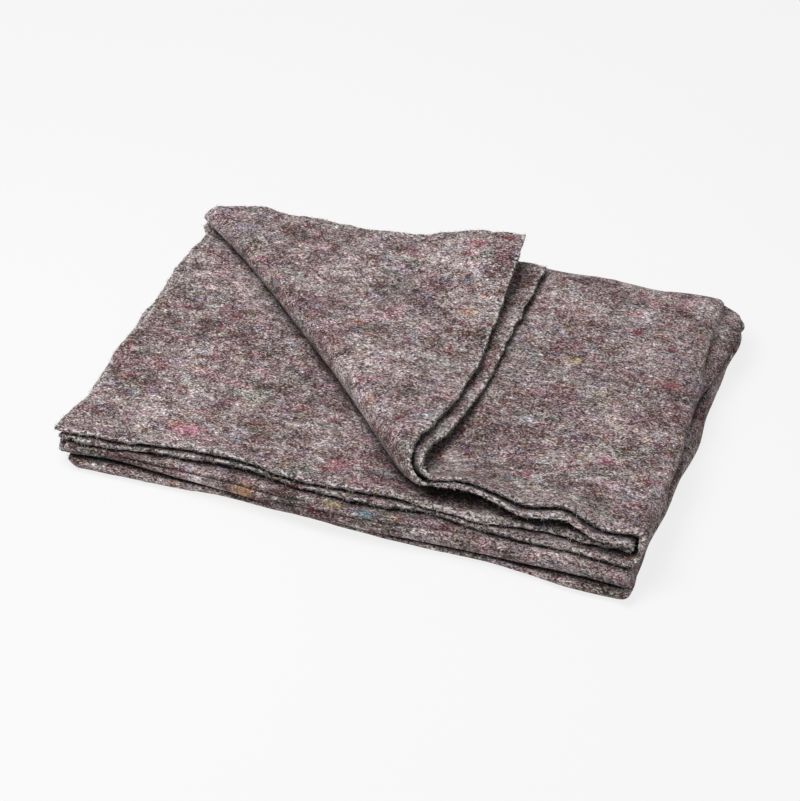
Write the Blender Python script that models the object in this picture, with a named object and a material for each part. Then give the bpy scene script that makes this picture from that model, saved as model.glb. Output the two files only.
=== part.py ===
"""Moving blanket of needled felt, folded into eight plies with one corner turned back.

The cloth is one piece. It is folded across its length, then across its width, then across its
length again, so the front shows four cut edges over two folds and the right side shows two
nested bends. The front left corner of the two top plies is rolled back over the stack.

The flat cloth is a sheet in (across, along). A mesh of its middle surface is cut along the lines
where the folds bend, each point is then carried through the three folds, the turned corner and
the unevenness of the stack, once for each face of the felt, and the two faces are joined by the
cut edge. The plies are counted from the top, so ply 8 lies on the floor.

Metres, +Z up. +X runs along the long front, +Y from the front to the back. The origin is the
middle of the underside.
"""

import math

import bmesh
import bpy
import numpy as np

NODE = "blanket"
MILLIMETRE = 0.001

# The flat cloth
CLOTH_ACROSS = 1.50
CLOTH_ALONG = 2.00
FELT = 0.0055

# The second fold is a little off the middle, so the lowest and the top plies reach further left
SECOND_LINE = 0.758

# Air between plies: inside the first fold, inside the second and inside the third
AIR_FIRST = 0.0050
AIR_SECOND = 0.0025
AIR_THIRD = 0.0035

# Heights of the axes that the three folds bend about, from the middle of the lowest ply
PLY_PITCH = FELT + AIR_FIRST
AXIS_FIRST = PLY_PITCH / 2
AXIS_SECOND = PLY_PITCH + FELT / 2 + AIR_SECOND / 2
AXIS_THIRD = 2 * AXIS_SECOND + FELT / 2 + AIR_THIRD / 2
STACK = 2 * AXIS_THIRD + FELT

# How far the plies slip past each other round a bend: 1 keeps each ply's length
SLIP_SECOND = 1.0
SLIP_THIRD = 0.35

# Where the bends of the second and third folds stand in plan
RIGHT_AXIS = 0.358
BACK_AXIS = 0.232
PLAN_LEFT, PLAN_RIGHT = -0.375, 0.375
PLAN_FRONT, PLAN_BACK = -0.250, 0.250

# The middle of the finished blanket's box, which is put at the origin
MIDDLE = (-0.00778, 0.00246)

# The turned corner: a cone that the two top plies roll over. The crease runs from the back left
# to the front, and the roll widens along it.
CREASE_BACK = (-0.352, 0.221)
CREASE_FRONT = (0.092, -0.194)
ROLL_BACK = 0.0092
ROLL_FRONT = 0.0190
FLAP_CLEARANCE = 0.0030
FLAP_SETTLES = 0.150
FLAP_SHIFTS_OVER = 0.060
FLAP_CORNER = (0.075, 0.235)
FLAP_CORNER_REACH = 0.110
FLAP_CORNER_LIFT = {"under": 0.003, "upper": 0.034}

# The turned corner's crease bows toward the back right: places along it, and moves in mm
BOW_PLACES = (0.0, 0.1, 0.2, 0.3, 0.4, 0.5, 0.6)
BOW_MOVES = (3.0, 7.0, 10.5, 9.5, 6.5, 3.0, 1.0)
BOW_REACH = 0.055
BOW_FADE = 0.040

# Moves of the two plies of the turned corner, in millimetres: of its back edge along y, at places
# along x, and of its right edge along x, at places along y
FLAP_BACK_PLACES = (-0.36, -0.25, -0.14, -0.03, 0.08)
FLAP_BACK_MOVES = {
    "under": (14, 9, 3, -6, -16),
    "upper": (49, -2, 2, 11, 8),
}
FLAP_RIGHT_PLACES = (-0.20, -0.09, 0.02, 0.13, 0.24)
FLAP_RIGHT_MOVES = {
    "under": (-17, 12, 27, 34, 42),
    "upper": (8, 15, 22, 23, 18),
}

# The cloth's left cut edge draws in where the third fold crosses it
EDGE_DRAW = 0.034
EDGE_DRAW_REACH = 0.055
EDGE_DRAW_FADE = 0.25

# Sideways moves of the plies, in millimetres. The lowest two plies move together, and so do the
# next two. At the front and the back the moves are along y, and on the left and right along x.
FRONT_PLACES = (-0.36, -0.30, -0.24, -0.18, -0.12, -0.06, 0.00, 0.06, 0.12, 0.18, 0.24, 0.30, 0.36)
FRONT_MOVES = {
    "plies 8 and 7": (-17, -15, -13, -8, -11, -11, -15, -17, -17, -16, -21, -28, -28),
    "plies 6 and 5": (-4, 2, -1, -4, -8, -14, -16, -14, -10, -9, -10, -9, -12),
    "ply 4": (-9, -11, 0, 4, 6, -3, -4, -1, 7, -3, -7, -7, -14),
    "ply 3": (-11, -10, 1, 5, 2, -7, -4, 3, 0, -4, 3, 0, -2),
    "ply 2": (-9, -5, -2, 0, 0, -2, -5, -8, -10, -6, -15, -16, -10),
    "ply 1": (-9, -5, -1, 0, -1, -3, -7, -11, -11, -3, -10, -15, 0),
}
SIDE_PLACES = (-0.25, -0.1875, -0.125, -0.0625, 0.00, 0.0625, 0.125, 0.1875, 0.25)
LEFT_MOVES = {
    "plies 8 and 7": (36, 28, 21, 14, 9, 5, 2, -1, -4),
    "plies 6 and 5": (0, -6, -11, -13, -13, -12, -11, -10, -10),
    "ply 4": (-13, -14, -15, -15, -14, -12, -10, -7, -4),
    "ply 3": (-4, 3, 7, 6, 7, 10, 12, 13, 10),
    "ply 2": (4, 5, 6, 7, 7, 7, 6, 6, 5),
    "ply 1": (0, 0, 0, 0, 0, 0, 0, 0, 0),
}
RIGHT_MOVES = {
    "plies 8 and 7": (-14, -14, -13, -8, -5, -3, -1, -1, -2),
    "plies 6 and 5": (-13, -13, -13, -8, -6, -4, -2, 0, 0),
    "ply 4": (-11, -11, -11, -10, -10, -10, -6, -1, 6),
    "ply 3": (-10, -11, -10, -10, -13, -19, -13, 1, 1),
    "ply 2": (-9, -9, -8, -7, -11, -18, -21, -24, -22),
    "ply 1": (-7, -6, -4, -4, -9, -15, -18, -20, -21),
}
BACK_PLACES = (-0.36, 0.36)
BACK_MOVES = {
    "plies 8 and 7": (1, 0),
    "plies 6 and 5": (3, 2),
    "ply 4": (4, 4),
    "ply 3": (5, 7),
    "ply 2": (6, 14),
    "ply 1": (8, 24),
}

# Changes of the air between plies, in millimetres, counted from the lowest gap: away from the
# front, and along the front at places along x
AIR_PLACES = (-0.36, -0.12, 0.12, 0.36)
AIR_CHANGES = (
    (-2.0, (0.8, -0.1, -2.6, -1.3)),
    (-1.0, (-0.5, -0.6, -1.9, -1.1)),
    (-2.0, (-0.2, 3.8, 5.1, 7.5)),
    (-1.0, (-0.2, 0.9, -0.6, -1.3)),
    (-2.5, (-0.3, -0.2, -1.6, -1.4)),
    (0.0, (0.5, 0.1, 0.1, 3.8)),
    (-2.5, (-0.4, -0.8, -1.7, -1.7)),
)
AIR_FRONT_REACH = 0.080

# Humps of the two top plies along the front: where, how wide, how high, how far they draw the
# edge back, and how far back they reach
HUMPS = (
    (0.131, 0.051, 0.031, 0.011, 0.058),
    (0.200, 0.046, 0.013, 0.007, 0.049),
    (0.272, 0.036, 0.018, 0.015, 0.073),
)
HUMP_GAP = 5

# Slow waves of each ply: length, turn, turn by height, size at the edges, size on the faces
WAVES = (
    (0.310, 0.6, 95.0, 0.0018, 0.0013),
    (0.173, 2.1, -150.0, 0.0016, 0.0008),
    (0.118, 4.0, 210.0, 0.0012, 0.0004),
)

# Spacing of the mesh
CELL_ACROSS = 0.042
CELL_ALONG = 0.084
BEND_STEPS_FIRST = 6
BEND_STEPS_SECOND = 8
BEND_STEPS_THIRD = 8
ROLL_STEPS = 8
FRONT_STRIP = 0.035

# Felt of mixed recycled fibres
FELT_COLOR = (0.240, 0.200, 0.195, 1.0)
FELT_ROUGHNESS = 0.95


def ramp(value, start, end):
    """0 before start, 1 after end, and a smooth step between."""
    part = np.clip((value - start) / (end - start), 0.0, 1.0)
    return part * part * (3 - 2 * part)


def bend(along, height, middle, centre, axis_height, slip):
    """Fold a stack over itself about an axis above it.

    along runs through the stack, height is the point's and middle its ply's. The result is the
    distance past the axis, the new height and middle, and the angle turned.
    """
    neutral = axis_height / 2
    ply_radius = axis_height - middle
    length = math.pi * (neutral + slip * (ply_radius - neutral))
    past = along - (centre - length / 2)
    angle = np.clip(past / length, 0.0, 1.0) * math.pi
    straight = np.minimum(past, 0.0) - np.maximum(past - length, 0.0)
    radius = axis_height - height
    return (straight + radius * np.sin(angle), axis_height - radius * np.cos(angle),
            axis_height - ply_radius * np.cos(angle), angle)


def bend_span(centre, axis_height, middle, slip):
    """The stretch of a ply that a fold bends."""
    neutral = axis_height / 2
    length = math.pi * (neutral + slip * (axis_height - middle - neutral))
    return centre - length / 2, centre + length / 2


class Roll:
    """The cone that the turned corner is rolled over."""

    def __init__(self):
        start, end = np.array(CREASE_BACK), np.array(CREASE_FRONT)
        run = np.linalg.norm(end - start)
        self.along = (end - start) / run
        self.side = np.array((self.along[1], -self.along[0]))
        self.sine = (ROLL_FRONT - ROLL_BACK) / run
        self.cosine = math.sqrt(1 - self.sine ** 2)
        self.apex = start - self.along * ROLL_BACK / self.sine
        self.height = 2 * AXIS_THIRD - PLY_PITCH / 2 + FELT / 2
        self.rest = self.height + PLY_PITCH + FELT + FLAP_CLEARANCE

    def polar(self, x, y):
        """Distance from the apex and angle past the crease, towards the turned side."""
        ahead = (x - self.apex[0]) * self.along[0] + (y - self.apex[1]) * self.along[1]
        aside = (x - self.apex[0]) * self.side[0] + (y - self.apex[1]) * self.side[1]
        return np.hypot(ahead, aside), np.arctan2(aside, ahead)

    def half_turn(self, distance, middle):
        """The angle of the sheet that half a turn of the roll takes up, for one ply."""
        return math.pi * (self.sine + (self.height - middle) * self.cosine / distance)

    def carry(self, x, y, z, middle):
        """Roll points of the two top plies, and let the flap settle on the stack."""
        distance, aside = self.polar(x, y)
        half = self.half_turn(distance, middle)
        turned = np.clip(aside / half, 0.0, 1.0) * math.pi
        beyond = np.maximum(aside - half, 0.0)
        ahead = np.array((*self.along, 0.0))
        across = np.array((*self.side, 0.0))
        up = np.array((0.0, 0.0, 1.0))
        axis = self.cosine * ahead + self.sine * up
        square = self.cosine * up - self.sine * ahead
        outward = np.sin(turned)[:, None] * across - np.cos(turned)[:, None] * square
        ray = self.cosine * axis + self.sine * outward
        inward = self.sine * axis - self.cosine * outward
        ray = np.cos(beyond)[:, None] * ray - np.sin(beyond)[:, None] * across
        apex = np.array((*self.apex, self.height))
        point = apex + distance[:, None] * ray + (z - self.height)[:, None] * inward
        reach = distance * np.sin(beyond)
        spare = 2 * self.sine * self.cosine * distance * np.cos(beyond) + self.height - self.rest
        point[:, 2] -= spare * ramp(reach, 0.0, FLAP_SETTLES) * (beyond > 0)
        moved = aside > 0
        return (np.where(moved, point[:, 0], x), np.where(moved, point[:, 1], y),
                np.where(moved, point[:, 2], z), ramp(reach, 0.0, FLAP_SHIFTS_OVER) * moved)


def edge_draw(across, along):
    """How far the cloth's left edge is drawn in."""
    cut = sum(np.exp(-((along - line) / EDGE_DRAW_REACH) ** 2)
              for line in (CLOTH_ALONG / 4, 3 * CLOTH_ALONG / 4))
    return EDGE_DRAW * cut * np.clip(1 - across / EDGE_DRAW_FADE, 0.0, 1.0)


def ply_levels():
    """The underside of each ply, from the lowest, in the even stack."""
    pack = (0.0, PLY_PITCH, 2 * AXIS_SECOND - PLY_PITCH, 2 * AXIS_SECOND)
    return pack + tuple(2 * AXIS_THIRD - level for level in reversed(pack))


def open_gaps(x, y, level):
    """Height added by the changes of the air between plies."""
    front = np.exp(-np.maximum(y - PLAN_FRONT, 0.0) / AIR_FRONT_REACH)
    levels = ply_levels()
    added = np.zeros_like(level)
    for gap, (inner, at_front) in enumerate(AIR_CHANGES):
        change = MILLIMETRE * (inner * (1 - front) + front * curve_through(AIR_PLACES, at_front, x))
        if gap == HUMP_GAP:
            change = change + humps(x, y)[0]
        bottom = levels[gap] + FELT
        passed = np.clip((level - bottom) / (levels[gap + 1] - bottom), 0.0, 1.0)
        added += change * passed
    return added


def humps(x, y):
    """Lift of the two top plies off the third, along the front, and how far it draws them back."""
    lift = np.zeros_like(x)
    draw = np.zeros_like(x)
    for place, width, height, back, reach in HUMPS:
        shape = np.exp(-((x - place) / width) ** 2 - (np.maximum(y - PLAN_FRONT, 0.0) / reach) ** 2)
        lift += height * shape
        draw += back * shape
    return lift, draw


def curve_through(places, values, at):
    """Smooth curve through values at evenly spaced places."""
    gap = places[1] - places[0]
    spot = np.clip((at - places[0]) / gap, 0.0, len(places) - 1.0)
    left = np.minimum(spot.astype(int), len(places) - 2)
    part = spot - left
    values = np.asarray(values)
    slope = np.gradient(values)
    start, end = values[left], values[left + 1]
    return (start + ramp(part, 0.0, 1.0) * (end - start)
            + part * (1 - part) * ((1 - part) * slope[left] - part * slope[left + 1]))


def edge_moves(places, moves, at, level):
    """Moves of one side of the stack, at places along it and at a height in it."""
    levels = ply_levels()
    tops = [low + FELT for low in levels]
    heights = (levels[0], tops[1], levels[2], tops[3], *sum(zip(levels[4:], tops[4:]), ()))
    lines = np.stack([curve_through(places, row, at) for row in moves.values() for _ in (0, 1)])
    above = np.clip(np.searchsorted(heights, level) - 1, 0, len(heights) - 2)
    low, high = np.take(heights, above), np.take(heights, above + 1)
    part = np.clip((level - low) / (high - low), 0.0, 1.0)
    column = np.arange(len(at))
    return MILLIMETRE * (lines[above, column] * (1 - part) + lines[above + 1, column] * part)


def slips(x, y, level):
    """Sideways moves of the plies, along x and along y."""
    right = np.clip((x - PLAN_LEFT) / (PLAN_RIGHT - PLAN_LEFT), 0.0, 1.0)
    back = np.clip((y - PLAN_FRONT) / (PLAN_BACK - PLAN_FRONT), 0.0, 1.0)
    return (edge_moves(SIDE_PLACES, LEFT_MOVES, y, level) * (1 - right)
            + edge_moves(SIDE_PLACES, RIGHT_MOVES, y, level) * right,
            edge_moves(FRONT_PLACES, FRONT_MOVES, x, level) * (1 - back) ** 2
            + edge_moves(BACK_PLACES, BACK_MOVES, x, level) * back)


def waves(x, y, level):
    """Slow waves: along x, along y and up."""
    move = [np.zeros_like(x) for _ in range(3)]
    side = np.abs(x) / PLAN_RIGHT
    back = np.clip(y / PLAN_BACK, 0.0, 1.2)
    for length, turn, by_height, edge_size, face_size in WAVES:
        pace = 2 * math.pi / length
        move[0] += edge_size * side ** 2 * np.sin(pace * y + turn + by_height * level)
        move[1] += edge_size * back ** 2 * np.sin(pace * x + 2 * turn + by_height * level)
        move[2] += face_size * np.sin(pace * (x + 0.4 * y) + turn) * np.cos(pace * y * 0.7 - turn)
    return move[0], move[1], move[2] * np.clip(level / STACK, 0.0, 1.0)


def bow_moves(x, y):
    """Moves of the two top plies beside the turned corner's crease, along x and along y."""
    run_x, run_y = (end - start for start, end in zip(CREASE_BACK, CREASE_FRONT))
    length = math.hypot(run_x, run_y)
    run_x, run_y = run_x / length, run_y / length
    off_x, off_y = x - CREASE_BACK[0], y - CREASE_BACK[1]
    size = curve_through(BOW_PLACES, BOW_MOVES, off_x * run_x + off_y * run_y)
    aside = (off_y * run_x - off_x * run_y) / BOW_REACH
    size = MILLIMETRE * size * np.exp(-aside ** 2) * ramp(BACK_AXIS - y, 0.0, BOW_FADE)
    return -size * run_y, size * run_x


def flap_moves(x, y, upper, share):
    """Moves of the turned corner's plies: along x, along y and up."""
    move = []
    for places, moves, at in ((FLAP_RIGHT_PLACES, FLAP_RIGHT_MOVES, y),
                              (FLAP_BACK_PLACES, FLAP_BACK_MOVES, x)):
        under_move, upper_move = (curve_through(places, moves[ply], at)
                                  for ply in ("under", "upper"))
        move.append(share * MILLIMETRE * np.where(upper, upper_move, under_move))
    corner = np.hypot(x - FLAP_CORNER[0], y - FLAP_CORNER[1]) / FLAP_CORNER_REACH
    lift = np.where(upper, FLAP_CORNER_LIFT["upper"], FLAP_CORNER_LIFT["under"])
    return (*move, share * lift * np.exp(-corner ** 2))


def fold(across, along, offset):
    """Carry points of the flat cloth, offset from its middle surface, to the folded blanket."""
    across = across + edge_draw(across, along)
    nothing = np.zeros_like(across)
    first, height, middle, _ = bend(along, offset, nothing, CLOTH_ALONG / 2, AXIS_FIRST, 1.0)
    second, height, middle, turned_over = bend(
        across, height, middle, SECOND_LINE, AXIS_SECOND, SLIP_SECOND)
    third, height, middle, on_top = bend(
        -first, height, middle, CLOTH_ALONG / 4, AXIS_THIRD, SLIP_THIRD)
    x = RIGHT_AXIS + second
    y = BACK_AXIS + third
    z = height + FELT / 2
    top_plies = (turned_over < math.pi / 2) & (on_top > math.pi / 2)
    *rolled, share = Roll().carry(x, y, z, middle + FELT / 2)
    x, y, z = (np.where(top_plies, new, old) for new, old in zip(rolled, (x, y, z)))
    moves = flap_moves(x, y, along > CLOTH_ALONG / 2, share * top_plies)
    bow_x, bow_y = (move * top_plies for move in bow_moves(x, y))
    slip_x, slip_y = slips(x, y, z)
    wave_x, wave_y, wave_z = waves(x, y, z)
    opened = open_gaps(x, y, z)
    level = np.clip((z - ply_levels()[HUMP_GAP]) / PLY_PITCH, 0.0, 1.0)
    draw = humps(x, y)[1] * level
    return np.stack((x + slip_x + wave_x + bow_x + moves[0] - MIDDLE[0],
                     y + slip_y + wave_y + bow_y + draw + moves[1] - MIDDLE[1],
                     z + opened + wave_z + moves[2]), 1)


def cut_lines(length, bends, spacing, strip=None):
    """Places of the straight cuts through the flat cloth in one direction.

    bends holds the start, end and number of steps of each stretch that a fold bends. A strip is
    the width of a row of faces beside both cut edges.
    """
    lines = [] if strip is None else [strip, length - strip]
    place = 0.0
    for start, end, count in (*bends, (length, length, 0)):
        lines.extend(np.linspace(place, start, max(2, round((start - place) / spacing) + 1)))
        lines.extend(np.linspace(start, end, count + 1))
        place = end
    return sorted(set(round(float(line), 6) for line in lines))


def grid_lines():
    """Cuts across and along the flat cloth."""
    second = bend_span(SECOND_LINE, AXIS_SECOND, 0.0, SLIP_SECOND)
    first = bend_span(CLOTH_ALONG / 2, AXIS_FIRST, 0.0, 1.0)
    third = bend_span(CLOTH_ALONG / 4, AXIS_THIRD, PLY_PITCH / 2, SLIP_THIRD)
    half = CLOTH_ALONG / 2
    rise = math.pi * AXIS_FIRST / 2
    near, far = third[0] + rise, third[1] + rise
    return (cut_lines(CLOTH_ACROSS, [(*second, BEND_STEPS_SECOND)], CELL_ACROSS),
            cut_lines(CLOTH_ALONG, [(half - far, half - near, BEND_STEPS_THIRD),
                                    (*first, BEND_STEPS_FIRST),
                                    (half + near, half + far, BEND_STEPS_THIRD)],
                      CELL_ALONG, FRONT_STRIP))


def flat_mesh():
    """The flat cloth's middle surface, cut where the folds and the turned corner bend it."""
    across, along = grid_lines()
    mesh = bmesh.new()
    rows = [[mesh.verts.new((u, v, 0.0)) for u in across] for v in along]
    for low, high in zip(rows, rows[1:]):
        for at in range(len(across) - 1):
            mesh.faces.new((low[at], low[at + 1], high[at + 1], high[at]))
    for ply in ("under", "upper"):
        for step in range(ROLL_STEPS + 1):
            cut_roll_line(mesh, ply, step / ROLL_STEPS)
    bmesh.ops.triangulate(mesh, faces=mesh.faces[:])
    return mesh


def cut_roll_line(mesh, ply, part):
    """Cut one of the two top plies along a line that the roll bends it about."""
    roll = Roll()
    middle = 2 * AXIS_THIRD + FELT / 2 - (0.0 if ply == "under" else PLY_PITCH)
    ends = []
    for place in (CREASE_BACK, CREASE_FRONT):
        distance, _ = roll.polar(*place)
        aside = part * roll.half_turn(distance, middle)
        spot = (roll.apex + distance * (math.cos(aside) * roll.along
                                        + math.sin(aside) * roll.side))
        ends.append(plan_to_cloth(spot, ply))
    run = np.array((*(ends[1] - ends[0]), 0.0))
    normal = np.cross(run, (0.0, 0.0, 1.0))
    inside = [face for face in mesh.faces if in_top_ply(face, ply)]
    parts = set(inside)
    for face in inside:
        parts.update(face.edges)
        parts.update(face.verts)
    bmesh.ops.bisect_plane(mesh, geom=list(parts), dist=1e-4,
                           plane_co=(*ends[0], 0.0), plane_no=normal / np.linalg.norm(normal))


def in_top_ply(face, ply):
    """Whether a face of the flat cloth lies in the flat stretch of one of the two top plies."""
    centre = face.calc_center_median()
    stretch = centre.y if ply == "under" else CLOTH_ALONG - centre.y
    return centre.x < CLOTH_ACROSS / 2 - CELL_ACROSS / 2 and stretch < CLOTH_ALONG / 4


def plan_to_cloth(spot, ply):
    """The place on the flat cloth of a spot of one of the two top plies before it is rolled."""
    middle = 0.0 if ply == "under" else PLY_PITCH
    right = bend_span(SECOND_LINE, AXIS_SECOND, middle, SLIP_SECOND)
    back = bend_span(CLOTH_ALONG / 4, AXIS_THIRD, middle, SLIP_THIRD)
    first = bend_span(CLOTH_ALONG / 2, AXIS_FIRST, 0.0, 1.0)
    across = spot[0] - RIGHT_AXIS + right[0]
    from_fold = back[1] + BACK_AXIS - spot[1]
    along = first[0] - from_fold if ply == "under" else first[1] + from_fold
    return np.array((across, along))


def close_sheet(flat):
    """Both faces of the felt, folded, and the cut edge between them, as one closed mesh."""
    flat.verts.ensure_lookup_table()
    flat.verts.index_update()
    across = np.array([vert.co.x for vert in flat.verts])
    along = np.array([vert.co.y for vert in flat.verts])
    count = len(across)
    points = np.concatenate((fold(across, along, np.full(count, FELT / 2)),
                             fold(across, along, np.full(count, -FELT / 2))))
    faces = []
    for face in flat.faces:
        corners = [vert.index for vert in face.verts]
        faces.append(corners[::-1])
        faces.append([corner + count for corner in corners])
    for edge in flat.edges:
        if not edge.is_boundary:
            continue
        loop = edge.link_loops[0]
        here, there = loop.vert.index, loop.link_loop_next.vert.index
        faces.append([here, there + count, here + count])
        faces.append([here, there, there + count])
    return points, faces


def felt_material():
    """Grey-brown felt."""
    material = bpy.data.materials.new("recycled felt")
    material.use_nodes = True
    shader = material.node_tree.nodes["Principled BSDF"]
    shader.inputs["Base Color"].default_value = FELT_COLOR
    shader.inputs["Roughness"].default_value = FELT_ROUGHNESS
    shader.inputs["Metallic"].default_value = 0.0
    return material


def build_blanket():
    """The folded blanket as one closed solid."""
    flat = flat_mesh()
    points, faces = close_sheet(flat)
    flat.free()
    mesh = bpy.data.meshes.new(NODE)
    mesh.from_pydata([tuple(point) for point in points], [], faces)
    mesh.materials.append(felt_material())
    mesh.shade_smooth()
    blanket = bpy.data.objects.new(NODE, mesh)
    bpy.context.scene.collection.objects.link(blanket)
    return blanket


def main():
    for item in list(bpy.data.objects):
        bpy.data.objects.remove(item, do_unlink=True)
    build_blanket()


main()
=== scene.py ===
"""Moving blanket: thick needled felt of mixed recycled fibres, folded, with one corner turned back.

One sheet of cloth is carried from its flat cut to the folded stack point by point: first the fold
across its length, then across its width, then across its length again, and last the corner of the
two top plies, which rolls over a cone. Lint and stray fibres stand on the faces and cut edges.

All lengths are metres. X runs along the long front, Y from the front to the back, Z up.
"""

import math

import bmesh
import bpy
import numpy as np
from bpy.props import FloatProperty, FloatVectorProperty, IntProperty, PointerProperty
from mathutils import Matrix, Vector
from mathutils.bvhtree import BVHTree


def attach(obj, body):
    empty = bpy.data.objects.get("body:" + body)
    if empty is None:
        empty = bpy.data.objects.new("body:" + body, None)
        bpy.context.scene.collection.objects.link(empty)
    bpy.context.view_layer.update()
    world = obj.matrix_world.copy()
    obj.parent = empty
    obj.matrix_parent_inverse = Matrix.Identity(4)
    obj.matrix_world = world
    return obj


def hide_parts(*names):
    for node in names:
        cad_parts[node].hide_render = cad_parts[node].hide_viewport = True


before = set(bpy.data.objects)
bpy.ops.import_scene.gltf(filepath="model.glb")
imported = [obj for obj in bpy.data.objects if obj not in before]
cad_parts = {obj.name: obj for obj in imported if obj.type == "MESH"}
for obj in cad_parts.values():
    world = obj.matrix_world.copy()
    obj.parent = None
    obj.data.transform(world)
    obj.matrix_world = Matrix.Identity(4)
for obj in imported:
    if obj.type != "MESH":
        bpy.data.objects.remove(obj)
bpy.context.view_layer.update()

bl_info = {
    "name": "Moving blanket",
    "version": (1, 0, 0),
    "blender": (4, 5, 0),
    "location": "View3D > Sidebar > Blanket",
    "description": "Builds a folded felt moving blanket with a turned corner, and its stage",
    "category": "Add Mesh",
}

NODE = "blanket"
MILLIMETRE = 0.001

# How far the plies slip past each other round a bend: 1 keeps each ply's length
SLIP_SECOND = 1.0
SLIP_THIRD = 0.35

# Where the bends of the second and third folds stand in plan
RIGHT_AXIS = 0.358
BACK_AXIS = 0.232
PLAN_LEFT, PLAN_RIGHT = -0.375, 0.375
PLAN_FRONT, PLAN_BACK = -0.250, 0.250

# The middle of the finished blanket's box, which is put at the origin
MIDDLE = (-0.00778, 0.00246)

# The turned corner: a cone that the two top plies roll over. The crease runs from the back left
# to the front, and the roll widens along it.
CREASE_BACK = (-0.352, 0.221)
CREASE_FRONT = (0.092, -0.194)
ROLL_BACK = 0.0092
ROLL_FRONT = 0.0190
FLAP_CLEARANCE = 0.0030
FLAP_SETTLES = 0.150
FLAP_SHIFTS_OVER = 0.060
FLAP_CORNER = (0.075, 0.235)
FLAP_CORNER_REACH = 0.110
FLAP_CORNER_LIFT = {"under": 0.003, "upper": 0.034}

# The turned corner's crease bows toward the back right: places along it, and moves in mm
BOW_PLACES = (0.0, 0.1, 0.2, 0.3, 0.4, 0.5, 0.6)
BOW_MOVES = (3.0, 7.0, 10.5, 9.5, 6.5, 3.0, 1.0)
BOW_REACH = 0.055
BOW_FADE = 0.040

# Moves of the two plies of the turned corner, in millimetres: of its back edge along y, at places
# along x, and of its right edge along x, at places along y
FLAP_BACK_PLACES = (-0.36, -0.25, -0.14, -0.03, 0.08)
FLAP_BACK_MOVES = {
    "under": (14, 9, 3, -6, -16),
    "upper": (49, -2, 2, 11, 8),
}
FLAP_RIGHT_PLACES = (-0.20, -0.09, 0.02, 0.13, 0.24)
FLAP_RIGHT_MOVES = {
    "under": (-17, 12, 27, 34, 42),
    "upper": (8, 15, 22, 23, 18),
}

# The cloth's left cut edge draws in where the third fold crosses it
EDGE_DRAW = 0.034
EDGE_DRAW_REACH = 0.055
EDGE_DRAW_FADE = 0.25

# Sideways moves of the plies, in millimetres. The lowest two plies move together, and so do the
# next two. At the front and the back the moves are along y, and on the left and right along x.
FRONT_PLACES = (-0.36, -0.30, -0.24, -0.18, -0.12, -0.06, 0.00, 0.06, 0.12, 0.18, 0.24, 0.30, 0.36)
FRONT_MOVES = {
    "plies 8 and 7": (-17, -15, -13, -8, -11, -11, -15, -17, -17, -16, -21, -28, -28),
    "plies 6 and 5": (-4, 2, -1, -4, -8, -14, -16, -14, -10, -9, -10, -9, -12),
    "ply 4": (-9, -11, 0, 4, 6, -3, -4, -1, 7, -3, -7, -7, -14),
    "ply 3": (-11, -10, 1, 5, 2, -7, -4, 3, 0, -4, 3, 0, -2),
    "ply 2": (-9, -5, -2, 0, 0, -2, -5, -8, -10, -6, -15, -16, -10),
    "ply 1": (-9, -5, -1, 0, -1, -3, -7, -11, -11, -3, -10, -15, 0),
}
SIDE_PLACES = (-0.25, -0.1875, -0.125, -0.0625, 0.00, 0.0625, 0.125, 0.1875, 0.25)
LEFT_MOVES = {
    "plies 8 and 7": (36, 28, 21, 14, 9, 5, 2, -1, -4),
    "plies 6 and 5": (0, -6, -11, -13, -13, -12, -11, -10, -10),
    "ply 4": (-13, -14, -15, -15, -14, -12, -10, -7, -4),
    "ply 3": (-4, 3, 7, 6, 7, 10, 12, 13, 10),
    "ply 2": (4, 5, 6, 7, 7, 7, 6, 6, 5),
    "ply 1": (0, 0, 0, 0, 0, 0, 0, 0, 0),
}
RIGHT_MOVES = {
    "plies 8 and 7": (-14, -14, -13, -8, -5, -3, -1, -1, -2),
    "plies 6 and 5": (-13, -13, -13, -8, -6, -4, -2, 0, 0),
    "ply 4": (-11, -11, -11, -10, -10, -10, -6, -1, 6),
    "ply 3": (-10, -11, -10, -10, -13, -19, -13, 1, 1),
    "ply 2": (-9, -9, -8, -7, -11, -18, -21, -24, -22),
    "ply 1": (-7, -6, -4, -4, -9, -15, -18, -20, -21),
}
BACK_PLACES = (-0.36, 0.36)
BACK_MOVES = {
    "plies 8 and 7": (1, 0),
    "plies 6 and 5": (3, 2),
    "ply 4": (4, 4),
    "ply 3": (5, 7),
    "ply 2": (6, 14),
    "ply 1": (8, 24),
}

# Changes of the air between plies, in millimetres, counted from the lowest gap: away from the
# front, and along the front at places along x
AIR_PLACES = (-0.36, -0.12, 0.12, 0.36)
AIR_CHANGES = (
    (-2.0, (0.8, -0.1, -2.6, -1.3)),
    (-1.0, (-0.5, -0.6, -1.9, -1.1)),
    (-2.0, (-0.2, 3.8, 5.1, 7.5)),
    (-1.0, (-0.2, 0.9, -0.6, -1.3)),
    (-2.5, (-0.3, -0.2, -1.6, -1.4)),
    (0.0, (0.5, 0.1, 0.1, 3.8)),
    (-2.5, (-0.4, -0.8, -1.7, -1.7)),
)
AIR_FRONT_REACH = 0.080

# Humps of the two top plies along the front: where, how wide, how high, how far they draw the
# edge back, and how far back they reach
HUMPS = (
    (0.131, 0.051, 0.031, 0.011, 0.058),
    (0.200, 0.046, 0.013, 0.007, 0.049),
    (0.272, 0.036, 0.018, 0.015, 0.073),
)
HUMP_GAP = 5

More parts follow.
